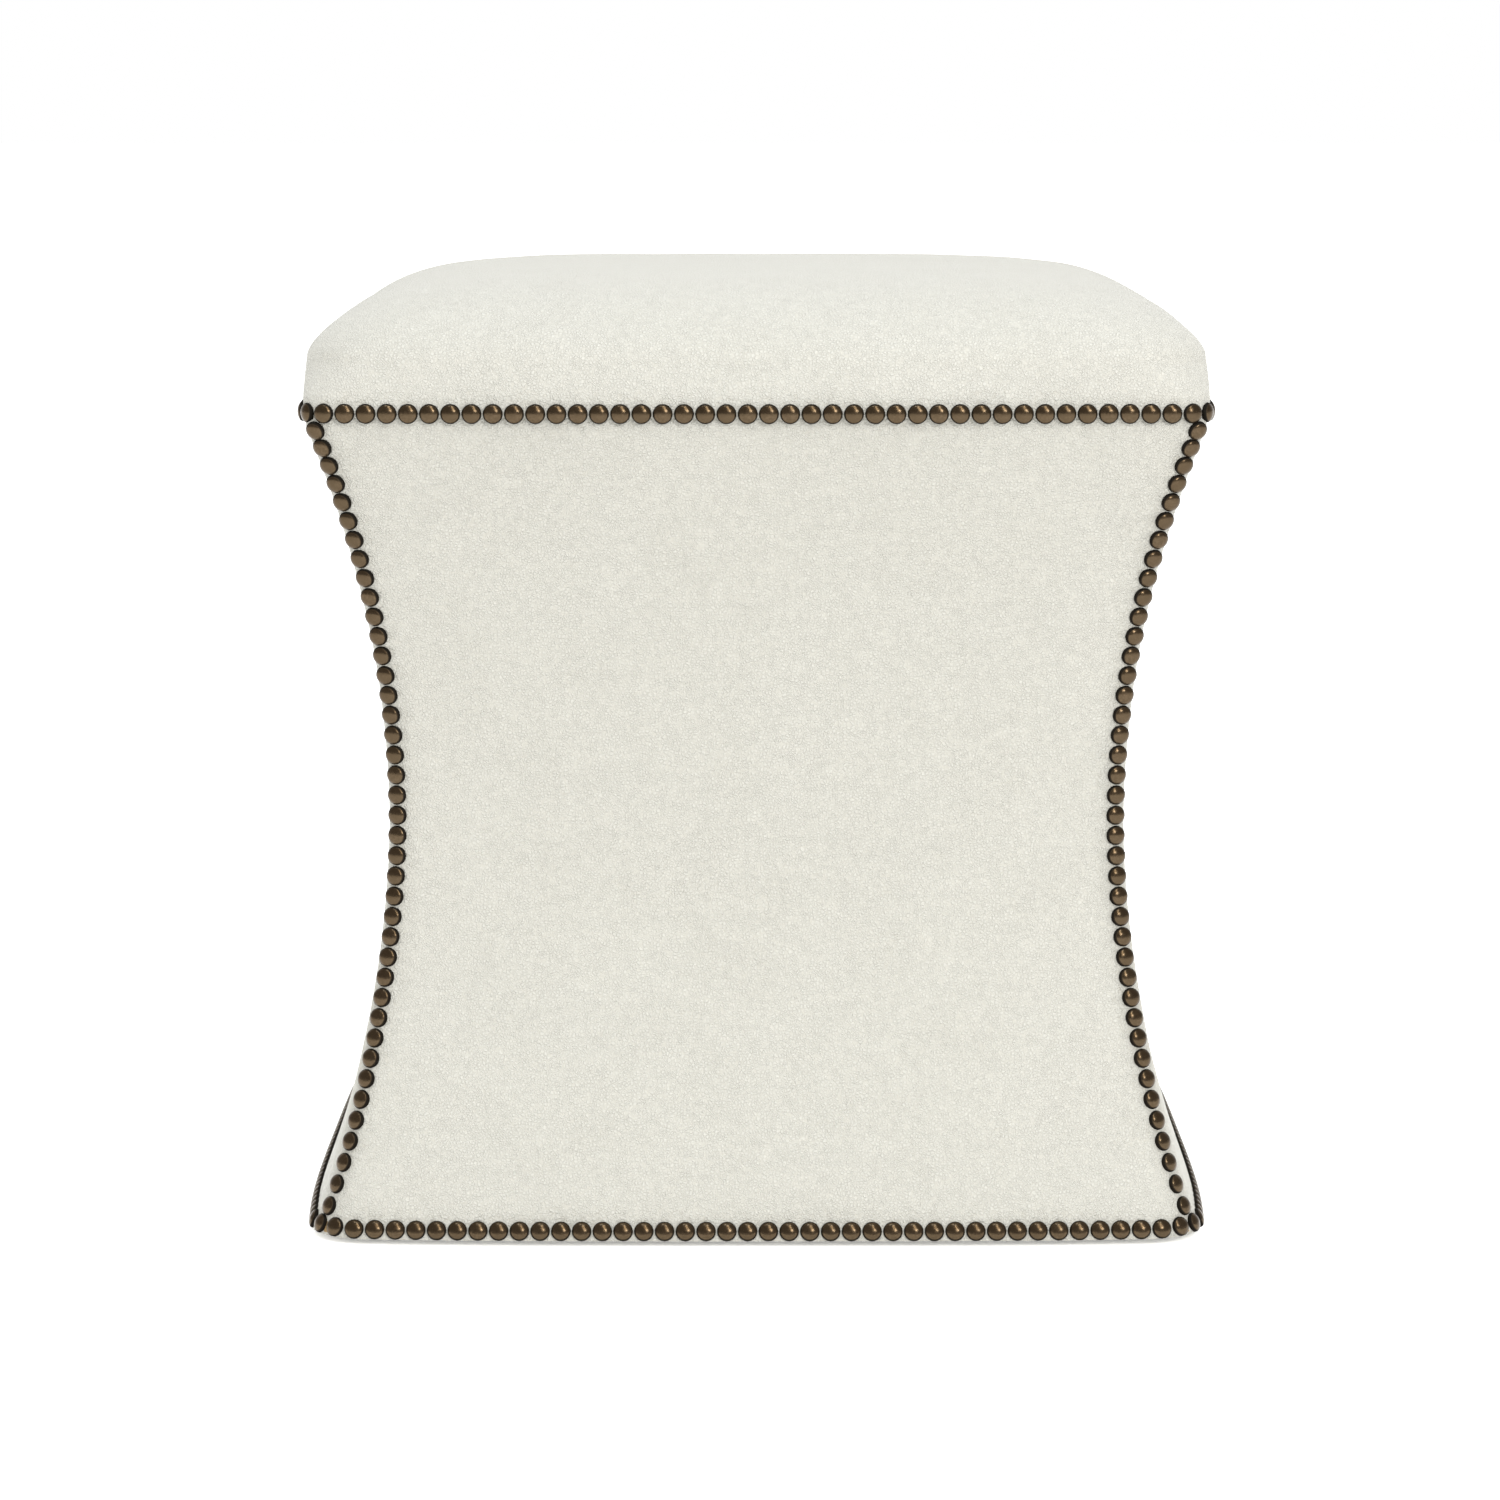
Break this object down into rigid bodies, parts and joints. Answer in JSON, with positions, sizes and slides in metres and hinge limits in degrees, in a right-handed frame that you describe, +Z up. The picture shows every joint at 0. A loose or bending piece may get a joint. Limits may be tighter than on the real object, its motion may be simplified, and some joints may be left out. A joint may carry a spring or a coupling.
{
  "type": "upholstered footstool",
  "caption": "Square leather footstool with a waisted body under a crowned seat, edged with rows of domed nail heads along the seat, the base and the corners, on low glides.",
  "frame": {"origin": "on the floor under the middle of the footstool", "axes": "+Z up, +X to the right of someone facing the front, -Y out of the front"},
  "size_m": [0.448, 0.448, 0.464],
  "materials": {
    "leather": "off-white leather with a fine pebbled grain, satin",
    "nail_brass": "antique bronze-coloured nail heads with darker rims, soft sheen",
    "foam": "open-celled foam, matt",
    "batting": "soft polyester wadding",
    "timber": "sawn softwood, bare",
    "plywood": "plywood, bare",
    "dust_cloth": "thin black non-woven cloth, matt",
    "glide_nylon": "dark nylon, satin"
  },
  "bodies": {
    "root": {"seat_cover": "leather", "seat_batting": "batting", "seat_foam": "foam", "seat_deck": "plywood", "dust_cover": "dust_cloth", "panel_front": "leather", "panel_right": "leather", "panel_back": "leather", "panel_left": "leather", "padding_front": "foam", "padding_right": "foam", "padding_back": "foam", "padding_left": "foam", "backing_board_front": "plywood", "backing_board_right": "plywood", "backing_board_back": "plywood", "backing_board_left": "plywood", "bottom_rail_front": "timber", "bottom_rail_right": "timber", "bottom_rail_back": "timber", "bottom_rail_left": "timber", "top_rail_front": "timber", "top_rail_right": "timber", "top_rail_back": "timber", "top_rail_left": "timber", "rib_front": "timber", "rib_right": "timber", "rib_back": "timber", "rib_left": "timber", "corner_post_front_right": "timber", "corner_post_back_right": "timber", "corner_post_back_left": "timber", "corner_post_front_left": "timber", "bottom_corner_block_front_right": "timber", "bottom_corner_block_back_right": "timber", "bottom_corner_block_back_left": "timber", "bottom_corner_block_front_left": "timber", "top_corner_block_front_right": "timber", "top_corner_block_back_right": "timber", "top_corner_block_back_left": "timber", "top_corner_block_front_left": "timber", "glide_front_right": "glide_nylon", "glide_back_right": "glide_nylon", "glide_back_left": "glide_nylon", "glide_front_left": "glide_nylon"}
  },
  "joints": []
}
